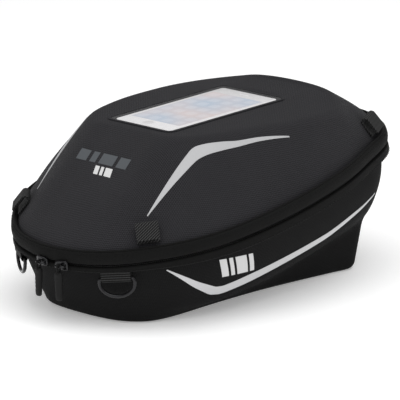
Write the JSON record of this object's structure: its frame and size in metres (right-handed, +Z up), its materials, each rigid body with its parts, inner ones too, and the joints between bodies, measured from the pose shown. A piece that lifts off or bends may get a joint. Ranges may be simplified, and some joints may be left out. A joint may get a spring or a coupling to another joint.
{
  "type": "motorcycle tank bag",
  "caption": "Faceted hard-shell tank bag with a clear handset window in its lid, a zip round the rim, webbing loops and D-rings.",
  "frame": {"origin": "centre of the bounding box, on the surface it stands on", "axes": "+Y along the length, from the nose where the zip sliders meet to the hinge; +Z up; +X to the right of someone who stands at the nose and faces the bag"},
  "size_m": [0.2568, 0.379, 0.1628],
  "materials": {
    "lid_fabric": "fine ballistic weave, matt",
    "base_fabric": "fine ballistic weave, matt",
    "band_fabric": "coated fabric tape, soft sheen",
    "lining": "smooth polyester lining",
    "zip_tape": "woven zip tape",
    "webbing": "ribbed polyester webbing",
    "black_metal": "black gloss coating",
    "rubber": "moulded grip",
    "reflective": "reflective film",
    "grey_print": "matt print",
    "clear_pane": "clear flexible sheet",
    "handset_white": "white glossy body with a pale screen",
    "black_plastic": "moulded, light grain",
    "steel": "plain screw heads"
  },
  "bodies": {
    "base": {"base_band": "band_fabric", "base_lining": "lining", "base_shell": "base_fabric", "base_stripe_left": "reflective", "base_stripe_right": "reflective", "base_zip_tape": "zip_tape", "d_ring_web_left": "webbing", "d_ring_web_right": "webbing", "floor_board": "black_plastic", "hinge_leaf_base": "webbing", "plate_screw_1": "steel", "plate_screw_2": "steel", "plate_screw_3": "steel", "plate_screw_4": "steel", "side_badge_left": "reflective", "side_badge_right": "reflective", "tank_plate": "black_plastic"},
    "lid": {"front_loop_left": "webbing", "front_loop_right": "webbing", "handset": "handset_white", "hinge_leaf_lid": "webbing", "lid_band": "band_fabric", "lid_lining": "lining", "lid_shell": "lid_fabric", "lid_stripe_left": "reflective", "lid_stripe_right": "reflective", "lid_zip_tape": "zip_tape", "nose_badge": "grey_print", "nose_badge_small": "reflective", "pocket_walls": "lining", "rear_loop_left": "webbing", "rear_loop_right": "webbing", "window_frame": "lid_fabric", "window_pane": "clear_pane"},
    "slider_left": {"slider_left": "black_metal"},
    "slider_right": {"slider_right": "black_metal"},
    "puller_left": {"puller_cord_left": "webbing", "puller_grip_left": "rubber"},
    "puller_right": {"puller_cord_right": "webbing", "puller_grip_right": "rubber"},
    "d_ring_left": {"d_ring_left": "black_metal"},
    "d_ring_right": {"d_ring_right": "black_metal"},
    "pocket_flap": {"pocket_flap": "lining"}
  },
  "joints": [
    {"name": "lid_hinge", "type": "hinge", "parent": "base", "child": "lid", "pos_m": [0, 0.18743, 0.12054], "axis": [-1, 0, 0], "range_deg": [0, 100]},
    {"name": "slider_left_travel", "type": "hinge", "parent": "base", "child": "slider_left", "pos_m": [0, -0.06767, 0.07464], "axis": [0, -0.1771, 0.9842], "range_deg": [-15.7, 0]},
    {"name": "puller_left_swing", "type": "hinge", "parent": "slider_left", "child": "puller_left", "pos_m": [-0.00605, -0.18661, 0.05324], "axis": [-0.9987, 0.0492, 0.0089], "range_deg": [-6, 100]},
    {"name": "slider_right_travel", "type": "hinge", "parent": "base", "child": "slider_right", "pos_m": [0, -0.06767, 0.07464], "axis": [0, -0.1771, 0.9842], "range_deg": [0, 10.5]},
    {"name": "puller_right_swing", "type": "hinge", "parent": "slider_right", "child": "puller_right", "pos_m": [0.01705, -0.18557, 0.05343], "axis": [-0.99, -0.1387, -0.025], "range_deg": [-6, 100]},
    {"name": "d_ring_left_swing", "type": "hinge", "parent": "base", "child": "d_ring_left", "pos_m": [-0.05839, -0.15688, 0.04538], "axis": [-0.8469, 0.5234, 0.0942], "range_deg": [-4, 100]},
    {"name": "d_ring_right_swing", "type": "hinge", "parent": "base", "child": "d_ring_right", "pos_m": [0.05839, -0.15688, 0.04538], "axis": [-0.8469, -0.5234, -0.0942], "range_deg": [-4, 100]},
    {"name": "pocket_flap_hinge", "type": "hinge", "parent": "lid", "child": "pocket_flap", "pos_m": [0, -0.07007, 0.14622], "axis": [-1, 0, 0], "range_deg": [0, 60]}
  ]
}
